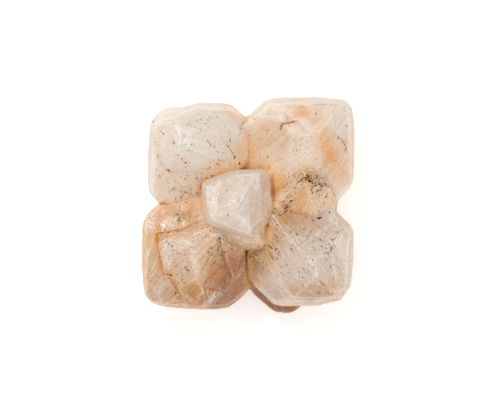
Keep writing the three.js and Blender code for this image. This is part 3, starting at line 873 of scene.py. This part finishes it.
        # The rust turns darker where tone and painted shade are darker.
        shaded_rust_mix = {0: product(smoke, 0.5), 6: linear(look.rust), 7: linear(look.shade_umber)}
        shaded_rust = self.add("Mix", COLOUR, shaded_rust_mix, 2)
        return [
            # Painted glow of light come through, strongest in deep hollows and weaker where darker.
            (product((self.stored[Field.HOLLOW], 0.06, 0.6, 0, 0.75), (smoke, 0.2, 0.9, 1, 0.3)), look.glow),
            (product(self.stored[Field.STAIN], (self.veil, 0.34, 0.6, 0.4, 1.25)), shaded_rust),
            (product(self.stored[Field.SEAM], (self.veil, 0.4, 0.62, 0.05, 0.38)), look.earth),
        ]

    def worn(self) -> list[Layer]:
        """Gives the white of worn ridges and frosted patches, partly wear and frost and partly painted
        highlight.
        """
        ridge = self.product(self.stored[Field.RIDGE], (self.mottle, 0.4, 0.6, 0.08, 0.55))
        frost = self.product(self.stored[Field.FROST], (self.mottle, 0.44, 0.6, 0.1, 0.6))
        return [(self.add("Math", {"operation": "MAXIMUM"}, (ridge, frost)), self.look.sugar)]

    def fine_lines(self) -> list[Layer]:
        """Gives the hair-fine dark and white growth lines, and painted glints on frosted faces with painted
        shade between them.
        """
        look, product, frost = self.look, self.product, self.stored[Field.FROST]
        hair = self.drawn_out(look.hair_size, 9, 2)
        shown = product(self.cloudy(0.3, 0.3), (self.stored[Field.SMOKE], 0.15, 0.8, 1, 0.4))
        painted_glint = self.drawn_out(look.glint_size, 0.4, 3)
        return [
            (product((hair, 0.64, 0.72, 0, 0.5), shown), look.earth),
            (product((hair, 0.26, 0.34, 0.42, 0), shown), look.sugar),
            # Painted shade between crinkles, then painted glints on them.
            (product((painted_glint, 0.36, 0.44, 0.6, 0), frost), look.crinkle_shade),
            (product((painted_glint, 0.53, 0.59, 0, 1), (frost, 0.05, 0.6, 0.12, 0.95)), look.painted_glint),
        ]

    def dust(self) -> list[Layer]:
        """Gives specks too fine to be grains of their own."""
        cells = {"Vector": self.mm, "Scale": 1 / self.look.dust_size}
        pick = self.add("TexVoronoi", None, cells, "Color")
        chosen = (self.add("SeparateColor", None, (pick,)), 0.8, 0.86, 0, 1)
        core = (pick.node.outputs["Distance"], 0.1, 0.26, 0.85, 0)
        return [(self.product(chosen, core, self.cloudy(0.15, 0.4)), self.look.dust)]


class Tone(Enum):
    """The finishes of the iron oxide grains."""

    BLACK = 0
    BROWN = 1
    OCHRE = 2


@dataclass(frozen=True)
class IronOxide:
    """Goethite and limonite, grown as dull grains: near black where thick, ochre where thin.

    Attributes:
        name: The material's name.
        body: The grain's own colour.
        thin: Its colour where it thins out.
        roughness: How dull it is.
    """

    name: str
    body: int
    thin: int
    roughness: float = 0.7

    def material(self) -> bpy.types.Material:
        """Makes the material."""
        return new_material(self.name, self.surface)

    def surface(self, tree: Tree) -> Socket:
        """Gives the surface, blotched at about a sixth of a millimetre, in a node tree."""
        place = add_node(tree, "TexCoord", out="Object")
        blotch = add_node(tree, "TexNoise", None, {"Vector": place, "Scale": 6 / MM, "Detail": 3})
        colours = {0: blotch, 6: linear(self.body), 7: linear(self.thin)}
        look = {
            "Base Color": add_node(tree, "Mix", COLOUR, colours, 2),
            "Roughness": self.roughness,
            "Specular IOR Level": 0.1,
            "Normal": add_node(tree, "Bump", None, {"Height": blotch, "Distance": 0.00003}),
        }
        return add_node(tree, "BsdfPrincipled", None, look)


@dataclass(frozen=True)
class Grain:
    """One iron oxide grain, by where it is seen from above, in millimetres.

    Attributes:
        x: Its place.
        y: Its place.
        long: Its length.
        wide: Its width.
        turn: The way its length runs, in degrees from +X.
        tone: Its finish.
    """

    x: float
    y: float
    long: float
    wide: float
    turn: float
    tone: Tone


def grains_of(tone: Tone, *rows: tuple[float, ...]) -> list[Grain]:
    """Makes grains of one tone from rows of x, y, length, width and turn."""
    return [Grain(*row, tone) for row in rows]


def film_of(tone: Tone, wide: float, *points: tuple[float, float]) -> list[Grain]:
    """Lays thin iron film along a crack, as a chain of flat grains.

    Args:
        tone: Its finish.
        wide: Its width, in millimetres.
        points: The crack's corners seen from above, in millimetres.

    Returns:
        The grains, each lapping over the next.
    """
    chain = []
    for (x, y), (to_x, to_y) in zip(points, points[1:]):
        length = math.hypot(to_x - x, to_y - y)
        steps = max(1, round(length / 0.5))
        turn = math.degrees(math.atan2(to_y - y, to_x - x))
        for i in range(steps):
            share = (i + 0.5) / steps
            place = (x + (to_x - x) * share, y + (to_y - y) * share)
            chain.append(Grain(*place, 2.1 * length / steps, wide, turn, tone))
    return chain


# The grains that are large enough to tell one from another, and the films in the cracks.
MAIN_GRAINS = (
    grains_of(
        Tone.BLACK,
        (14.2, -2.6, 1.15, 0.5, 18), (-1.7, 8.3, 0.6, 0.42, -50), (3.9, 9.6, 0.5, 0.36, 70),
        (-10.2, 5.3, 0.45, 0.4, 0), (-7.1, 5.8, 0.75, 0.36, 14), (-7.6, 7.4, 0.5, 0.3, 20),
        (-6.1, 8.2, 0.5, 0.28, -60), (-3.6, 13, 0.4, 0.34, 20), (-15.4, -14, 1.05, 0.34, -6),
        (-5.6, -6.7, 0.7, 0.4, 32), (-4.2, -7, 0.35, 0.25, 0), (-0.2, -11.2, 1, 0.28, -48),
        (0.5, -10.2, 0.7, 0.26, -40), (12, 5.8, 0.7, 0.42, 10), (12.4, 4.7, 1.1, 0.4, -10),
        (13.1, 5.1, 0.8, 0.32, -20), (16.3, -1.5, 0.6, 0.42, 60), (8.6, 0.8, 0.62, 0.42, 45),
        (7.7, -0.45, 1.5, 0.24, 50), (5.5, -0.6, 1.3, 0.24, 34), (5.1, -1.6, 0.45, 0.32, 0),
        (19.2, 12.1, 0.5, 0.34, -30), (4.5, -8.4, 1.5, 0.24, -42), (5.5, -8.8, 0.9, 0.22, 62),
        (-2.6, 9.6, 0.55, 0.3, -48), (-4, 11.7, 0.7, 0.28, -42), (-11.95, -12.95, 0.6, 0.28, -30),
        (-14.3, -5.1, 1.2, 0.26, -24), (-15.9, -5.5, 0.6, 0.2, -10), (-14.4, -17.5, 0.45, 0.34, 30),
        (-12.6, -2.6, 0.7, 0.26, 28),
    )
    + grains_of(
        Tone.BROWN,
        (-3.2, 10.6, 2.5, 0.14, -51), (-16.8, 14.2, 0.55, 0.26, 84), (-14.8, 12.3, 0.55, 0.3, 66),
        (-12.7, 13.7, 0.45, 0.3, 0), (-13.1, 13.4, 0.3, 0.25, 0), (-12.4, 12.1, 0.4, 0.25, 0),
        (-8, 12.7, 0.45, 0.28, -30), (-7.4, 11.9, 0.45, 0.3, -40), (-7.7, 12.3, 0.9, 0.12, -50),
        (-13.2, 9.2, 0.5, 0.3, -20), (-12.4, 8.4, 0.75, 0.34, -38), (-15.8, 6.9, 1, 0.42, -38),
        (-18.2, 7, 0.5, 0.3, 50), (-19.2, 5.7, 0.45, 0.34, 20), (-9.1, 5.2, 0.35, 0.3, 0),
        (-8.3, 5.4, 0.45, 0.32, 20), (-14.8, 3.4, 0.42, 0.34, 0), (-13.3, 1.6, 0.6, 0.34, -32),
        (-10.1, 2.4, 0.45, 0.34, 0), (-12.4, 0.5, 0.5, 0.3, 0), (-1.4, 15.1, 0.4, 0.26, 0),
        (-1.8, 13.9, 0.4, 0.24, 10), (0.2, 13.9, 0.3, 0.26, 0), (1.3, 17.1, 0.28, 0.24, 0),
        (1.9, 17.7, 0.28, 0.22, 0), (4.1, 18.1, 0.3, 0.24, 0), (3.9, 14.9, 0.32, 0.3, 0),
        (4.1, 7.7, 0.42, 0.26, 40), (19.6, 15.7, 0.5, 0.36, 80), (19.3, 19.5, 0.4, 0.26, -60),
        (14.3, 7.1, 0.55, 0.3, 0), (9.2, 3.5, 0.5, 0.26, 40), (10, 4.6, 1.3, 0.2, 30),
        (10.7, 4, 0.4, 0.24, 40), (11.2, 5.5, 1, 0.2, 10), (12.8, 2.5, 0.6, 0.3, -60),
        (7, -1.7, 0.4, 0.26, 0), (11.5, -2.4, 0.45, 0.3, 0), (12.9, -10.9, 0.42, 0.36, 0),
        (13, -12.5, 0.4, 0.2, -60), (12.1, -13.3, 0.45, 0.26, 50), (11.5, -13.7, 0.3, 0.2, 60),
        (4.7, -10.3, 2.1, 0.18, -56), (1.3, -9.7, 0.5, 0.26, -40), (3.6, -11.9, 0.38, 0.26, 0),
        (3, -12.6, 0.9, 0.18, -46), (14.9, -15.7, 1.9, 0.2, -46), (14.4, -17.6, 0.35, 0.24, 0),
        (14.5, -19.8, 0.9, 0.26, 30), (7.4, -16.3, 0.3, 0.3, 0), (5.8, -14, 0.5, 0.24, -50),
        (17.9, -5.4, 0.6, 0.18, -40), (16.9, -6.9, 0.9, 0.22, 20), (-12.4, -12.5, 0.7, 0.2, -40),
        (-14.3, -12.1, 0.35, 0.26, 0), (-13.3, -13.4, 0.3, 0.26, 0), (-14.9, -8.9, 0.5, 0.22, -50),
        (-13.8, -9.7, 0.7, 0.18, -20), (-12.7, -10, 0.5, 0.16, 0), (-11.3, -8.4, 0.34, 0.28, 0),
        (-14.2, -1.9, 0.8, 0.22, 0), (-16.4, -1.9, 0.4, 0.22, 0), (-15.9, -7.6, 0.4, 0.26, 50),
        (-2.2, -7.7, 0.6, 0.24, 32), (-3, -7.2, 0.35, 0.22, 0), (-3.2, -8.8, 0.42, 0.3, 20),
        (-6, -8.8, 0.5, 0.26, 50), (-7.1, -9.9, 0.9, 0.16, 48), (-8.9, -10.4, 0.8, 0.14, 52),
        (-7.2, -12, 0.9, 0.16, 50), (-8, -11, 0.8, 0.14, 54), (-5, -10.9, 0.34, 0.3, 0),
        (-4.7, -12.8, 0.6, 0.2, 40), (-8.3, -15.6, 1.1, 0.16, 48), (-8.2, -16.5, 0.4, 0.26, 0),
        (-7.6, -16.9, 0.6, 0.24, 44), (-13.1, -14.9, 0.5, 0.22, -30), (-13.9, -15.5, 0.34, 0.26, 0),
        (-16.9, -14, 0.4, 0.24, 0), (-4, -1.9, 0.42, 0.4, 0), (-1.3, 0.3, 0.3, 0.18, 60),
        (-2.5, -0.2, 0.28, 0.2, 0), (-5.5, -3.7, 0.8, 0.14, 0), (-9.8, -2.1, 0.5, 0.2, 60),
    )
    + grains_of(
        Tone.OCHRE,
        (-18.9, 16.7, 0.75, 0.55, 50), (8.6, 20.9, 0.4, 0.3, 0), (9.7, 10.9, 0.5, 0.34, 0),
        (13.4, 9.2, 0.5, 0.3, -60), (17.9, 13.2, 0.6, 0.42, 0), (18.6, 12.7, 0.8, 0.2, -40),
        (19.4, 11, 0.7, 0.36, -60), (10.4, 12, 0.5, 0.34, 60), (11.9, 12.6, 0.4, 0.3, 0),
        (14, -17.4, 0.6, 0.5, 0), (-8.4, 16.2, 0.5, 0.22, -10), (-11.7, 16.1, 0.4, 0.24, 0),
        (-5, 10.4, 0.4, 0.24, 0), (-17.2, 14.6, 0.35, 0.2, 80), (20.4, -11.2, 0.5, 0.4, 0),
    )
    + film_of(Tone.OCHRE, 0.42, (6.4, 14.9), (6.8, 16.2), (8.1, 16.3), (9.3, 16.7))
    + film_of(Tone.OCHRE, 0.24, (-13.8, -5), (-16, -5.3), (-18.3, -5.7), (-17.9, -8.6), (-17.2, -13))
    + film_of(Tone.OCHRE, 0.3, (-17.2, -13), (-16.6, -13.8), (-15.5, -13.9))
    + film_of(Tone.OCHRE, 0.2, (-15.9, -14.2), (-13.5, -18))
    + film_of(Tone.BROWN, 0.12, (-13.7, -5.1), (-11.6, -4.1), (-9.4, -3.1))
    + film_of(Tone.OCHRE, 0.16, (17.3, 14), (18.9, 12.9), (19.7, 11))
    + film_of(Tone.OCHRE, 0.18, (4.95, 6), (5.15, 3.4), (5.35, 0.8))
)


@dataclass
class OxideGrains:
    """The iron oxide grains set into the skin.

    Attributes:
        skin: The surface that they sit in.
        owners: The crystal that each of its points belongs to.
        scattered: How many small ones are strewn over the whole surface.
        proud: How far a grain stands off the skin, as a share of its width.
        rough: How far in and out its corners lie, 1 being a smooth lump.
        stretches: How many times longer than wide small grains are, picked at random.
        shares: How common each tone is among small grains.
        batch: How many are made in one go, as a small mesh is quicker to work in.
    """

    skin: bpy.types.Object
    owners: list[Crystal]
    scattered: int = 3000
    proud: float = 0.16
    rough: tuple[float, float] = (0.72, 1.12)
    stretches: tuple[float, ...] = (1.2, 1.6, 2.4, 4.0)
    shares: tuple[float, ...] = (0.22, 0.54, 0.24)
    batch: int = 120
    rng: random.Random = field(default_factory=lambda: random.Random(41))

    def build(self) -> bpy.types.Object:
        """Builds every grain into one piece and returns it."""
        placed = self.main_places() + self.strewn_places()
        work = bmesh.new()
        for start in range(0, len(placed), self.batch):
            part = bmesh.new()
            for place, normal, grain in placed[start : start + self.batch]:
                self.set_in(part, place, normal, grain)
            loose = bpy.data.meshes.new("batch")
            part.to_mesh(loose)
            part.free()
            work.from_mesh(loose)
            bpy.data.meshes.remove(loose)
        mesh = bpy.data.meshes.new("iron_oxide_grains")
        bmesh.ops.recalc_face_normals(work, faces=work.faces)
        work.to_mesh(mesh)
        work.free()
        mesh.shade_smooth()
        made = in_scene("iron_oxide_grains", mesh)
        LOG.info("%s: %d faces", made.name, len(mesh.polygons))
        return made

    def main_places(self) -> list[tuple[Vector, Vector, Grain]]:
        """Drops the grains that are large enough to tell apart on to the skin from above."""
        surface = bmesh.new()
        surface.from_mesh(self.skin.data)
        tree = BVHTree.FromBMesh(surface)
        surface.free()
        placed = []
        for grain in MAIN_GRAINS:
            hit = tree.ray_cast(Vector((grain.x, grain.y, 60)) * MM, Vector((0, 0, -1)))
            if hit[0] is not None:
                placed.append((hit[0], hit[1], grain))
        return placed

    def set_in(self, work: bmesh.types.BMesh, place: Vector, normal: Vector, grain: Grain) -> None:
        """Sets one rough lump into the skin.

        Args:
            work: The mesh that the grains are gathered in.
            place: Where it sits, in metres.
            normal: The skin's normal there.
            grain: Its size, turn and tone.
        """
        turn = math.radians(grain.turn)
        line = Vector((math.cos(turn), math.sin(turn), 0))
        line = (line - normal * line.dot(normal)).normalized()
        turned = Matrix((line, normal.cross(line), normal)).transposed().to_4x4()
        size = Matrix.Diagonal((grain.long / 2, grain.wide / 2, grain.wide * self.proud, 1 / MM)) * MM
        verts = bmesh.ops.create_icosphere(work, subdivisions=1, radius=1)["verts"]
        for vert in verts:
            vert.co *= self.rng.uniform(*self.rough)
        bmesh.ops.transform(work, matrix=Matrix.Translation(place) @ turned @ size, verts=verts)
        for face in {face for vert in verts for face in vert.link_faces}:
            face.material_index = grain.tone.value

    def strewn_places(self) -> list[tuple[Vector, Vector, Grain]]:
        """Strews small grains over the skin, thick in their swarms and in hollows.

        Returns:
            Place, normal and grain of each.
        """
        mesh = self.skin.data
        hollow = mesh.attributes[Field.HOLLOW.value].data
        placed = []
        while len(placed) < self.scattered:
            index = self.rng.randrange(len(mesh.vertices))
            vert = mesh.vertices[index]
            p = vert.co / MM
            crystal = self.owners[index]
            swarm = sum(spot.at(p.x, p.y) for spot in SWARMS) if vert.normal.z > 0.3 and p.z > 9 else 0.0
            thick = crystal.specks * (0.3 + noise.noise(p * 0.35) * 1.2 + hollow[index].value * 0.5) + swarm
            if p.z < 0.4 or self.rng.random() * 2 > thick:
                continue
            wide = 0.08 + (0.12 + 0.06 * min(swarm, 2.0)) * self.rng.random() ** 2.2
            long = wide * self.rng.choice(self.stretches)
            turn = crystal.heading + self.rng.gauss(0, 14)
            tone = self.rng.choices(list(Tone), self.shares)[0]
            placed.append((vert.co.copy(), vert.normal.copy(), Grain(p.x, p.y, long, wide, turn, tone)))
        return placed


@dataclass
class Studio:
    """A pale table top under soft light, with the camera straight above.

    Attributes:
        view_width: Width of what the camera sees, in millimetres.
        level: Height at which that width is measured, in millimetres.
        distance: From the camera down to that level, in millimetres.
        centre: The point under the camera, in millimetres.
    """

    view_width: float = 100.0
    level: float = 13.0
    distance: float = 1600.0
    centre: tuple[float, float] = (0.4, 0.7)

    def build(self) -> None:
        """Builds the table top, the lights and the camera."""
        self.floor()
        self.softbox("key", (-0.26, 0.40, 0.76), 0.12, 2.3, 0xFFFEFC)
        self.softbox("side", (-0.80, 0.30, 0.22), 0.17, 0.95, 0xFFFEFC)
        self.softbox("fill", (0.36, -0.50, 0.50), 0.8, 2.0, 0xFFFDFA)
        self.softbox("top", (0.0, 0.05, 0.9), 0.9, 2.66, 0xFFFFFF)
        world = bpy.data.worlds.new("soft_room")
        world.use_nodes = True
        glow = world.node_tree.nodes["Background"].inputs
        glow["Color"].default_value = linear(0xFFFEFC)
        glow["Strength"].default_value = 0.28
        bpy.context.scene.world = world
        bpy.context.scene.view_settings.view_transform = "Standard"
        self.camera()

    def floor(self) -> None:
        """Lays the table top just under the cluster."""
        work = bmesh.new()
        bmesh.ops.create_grid(work, x_segments=1, y_segments=1, size=1.5)
        bmesh.ops.translate(work, verts=work.verts, vec=(0, 0, -0.02 * MM))
        mesh = bpy.data.meshes.new("table_top")
        work.to_mesh(mesh)
        work.free()
        # Uncoated paper, pressed even at the mill: dull and white, and lit from below as well.
        look = {
            "Base Color": linear(0xFDFDFC),
            "Roughness": 0.9,
            "Emission Color": linear(0xFFFFFF),
            "Emission Strength": 0.37,
        }
        paper = partial(add_node, kind="BsdfPrincipled", inputs=look)
        mesh.materials.append(new_material("white_paper", paper))
        top = in_scene("table_top", mesh)

    def softbox(self, name: str, place: tuple[float, ...], size: float, power: float, colour: int) -> None:
        """Hangs a square soft light that looks at the cluster.

        Args:
            name: The light's name.
            place: Where it hangs, in metres.
            size: Its edge, in metres.
            power: Its power, in watts.
            colour: Its colour as sRGB hex.
        """
        light = bpy.data.lights.new(name, "AREA")
        light.shape = "SQUARE"
        light.size = size
        light.energy = power
        light.color = linear(colour)[:3]
        box = in_scene(name, light)
        box.location = place
        box.rotation_euler = (-Vector(place)).to_track_quat("-Z", "Y").to_euler()

    def camera(self) -> None:
        """Sets the camera over the cluster, its top edge towards +Y."""
        lens = bpy.data.cameras.new("camera")
        lens.sensor_width = 36.0
        lens.lens = lens.sensor_width * self.distance / self.view_width
        lens.clip_end = 10.0
        eye = in_scene("camera", lens)
        eye.location = (self.centre[0] * MM, self.centre[1] * MM, (self.level + self.distance) * MM)
        bpy.context.scene.camera = eye


def main() -> None:
    """Builds the scene and reports each piece."""
    logging.basicConfig(level=logging.INFO, format="%(message)s")
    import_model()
    Studio().build()
    cluster = CrystalSkin()
    skin = cluster.build()
    skin.data.materials.append(Chabazite().material())
    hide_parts("chabazite_cluster")
    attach(skin, "root")
    grains = OxideGrains(skin, cluster.owners).build()
    for finish in (
        IronOxide("goethite_grain", 0x2E1606, 0x704014),
        IronOxide("goethite_film", 0x6E3C0C, 0x9C5E20),
        IronOxide("limonite_grain", 0xB87420, 0xDCA246),
    ):
        grains.data.materials.append(finish.material())
    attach(grains, "root")


if __name__ == "__main__":
    main()
